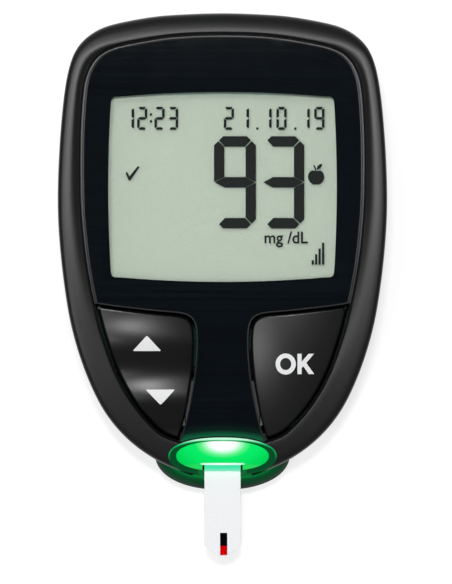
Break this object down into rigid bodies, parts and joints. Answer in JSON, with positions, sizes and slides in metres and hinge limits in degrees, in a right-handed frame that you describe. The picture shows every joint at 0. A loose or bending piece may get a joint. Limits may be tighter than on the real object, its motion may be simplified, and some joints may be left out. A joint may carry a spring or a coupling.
{
  "type": "blood glucose meter",
  "caption": "Pocket blood glucose meter with a display, a rocker key, an OK key, a lit port holding a test strip, and a sliding battery door.",
  "frame": {"origin": "centre of the flat back face, which the meter lies on", "axes": "+Z out of the display, +Y towards the top end, -Y towards the strip port, +X to the right of a reader"},
  "size_m": [0.0554, 0.0914, 0.018],
  "materials": {
    "case": "fine spark-eroded grain, charcoal black",
    "lens": "clear, hard-coated",
    "mask": "black print behind the lens",
    "foam": "closed-cell foam and elastomer",
    "display_glass": "liquid-crystal cell with satin polariser",
    "reflector": "pale grey-green reflective film",
    "white_plastic": "white moulded",
    "board": "green solder mask on glass epoxy",
    "chip": "black moulding compound",
    "tinned_metal": "tinned shield can",
    "ceramic_chip": "ceramic with tinned ends",
    "steel": "nickel-plated",
    "contact_gold": "gold-flashed spring strip",
    "lit_guide": "milky light guide, lit green",
    "port_smoke": "smoked translucent, lit from the port",
    "cell_can": "nickel-plated steel can",
    "label": "blank satin film",
    "key": "soft-touch satin charcoal",
    "strip_film": "white polyester film",
    "carbon_trace": "printed carbon",
    "legend": "white print on the keys",
    "lcd_ink": "dark liquid-crystal segments",
    "sample": "red liquid in the channel"
  },
  "bodies": {
    "case": {"front_case": "case", "rear_case": "case", "cover_lens": "lens", "lens_mask": "mask", "display_gasket": "foam", "lcd_front_glass": "display_glass", "lcd_rear_glass": "display_glass", "lcd_reflector": "reflector", "lcd_frame": "white_plastic", "zebra_connector": "foam", "main_board": "board", "microcontroller": "chip", "radio_module": "tinned_metal", "chip_components": "ceramic_chip", "buzzer": "chip", "snap_domes": "steel", "port_leds": "white_plastic", "strip_connector": "chip", "connector_contacts": "contact_gold", "port_light_guide": "lit_guide", "port_housing": "port_smoke", "coin_cell_left": "cell_can", "coin_cell_right": "cell_can", "battery_positive_contacts": "steel", "battery_negative_contacts": "contact_gold", "case_screws": "steel", "rear_label": "label"},
    "rocker": {"arrow_key": "key"},
    "ok_button": {"ok_key": "key"},
    "door": {"battery_door": "case"},
    "test_strip": {"strip_base": "strip_film", "strip_spacer": "strip_film", "strip_cover": "strip_film", "strip_electrodes": "carbon_trace", "strip_reagent": "carbon_trace"}
  },
  "joints": [
    {"name": "arrow_key_rock", "type": "hinge", "parent": "case", "child": "rocker", "pos_m": [-0.01215, -0.0199, 0.012], "axis": [1, 0, 0], "range_deg": [-4, 4], "stiffness_Nm_per_rad": 0.15},
    {"name": "ok_key_press", "type": "slide", "parent": "case", "child": "ok_button", "axis": [0, 0, -1], "range_m": [0, 0.0005], "stiffness_N_per_m": 600},
    {"name": "battery_door_slide", "type": "slide", "parent": "case", "child": "door", "axis": [0, 1, 0], "range_m": [0, 0.033]},
    {"name": "test_strip_slide", "type": "slide", "parent": "case", "child": "test_strip", "axis": [0, -1, 0], "range_m": [0, 0.016]}
  ]
}
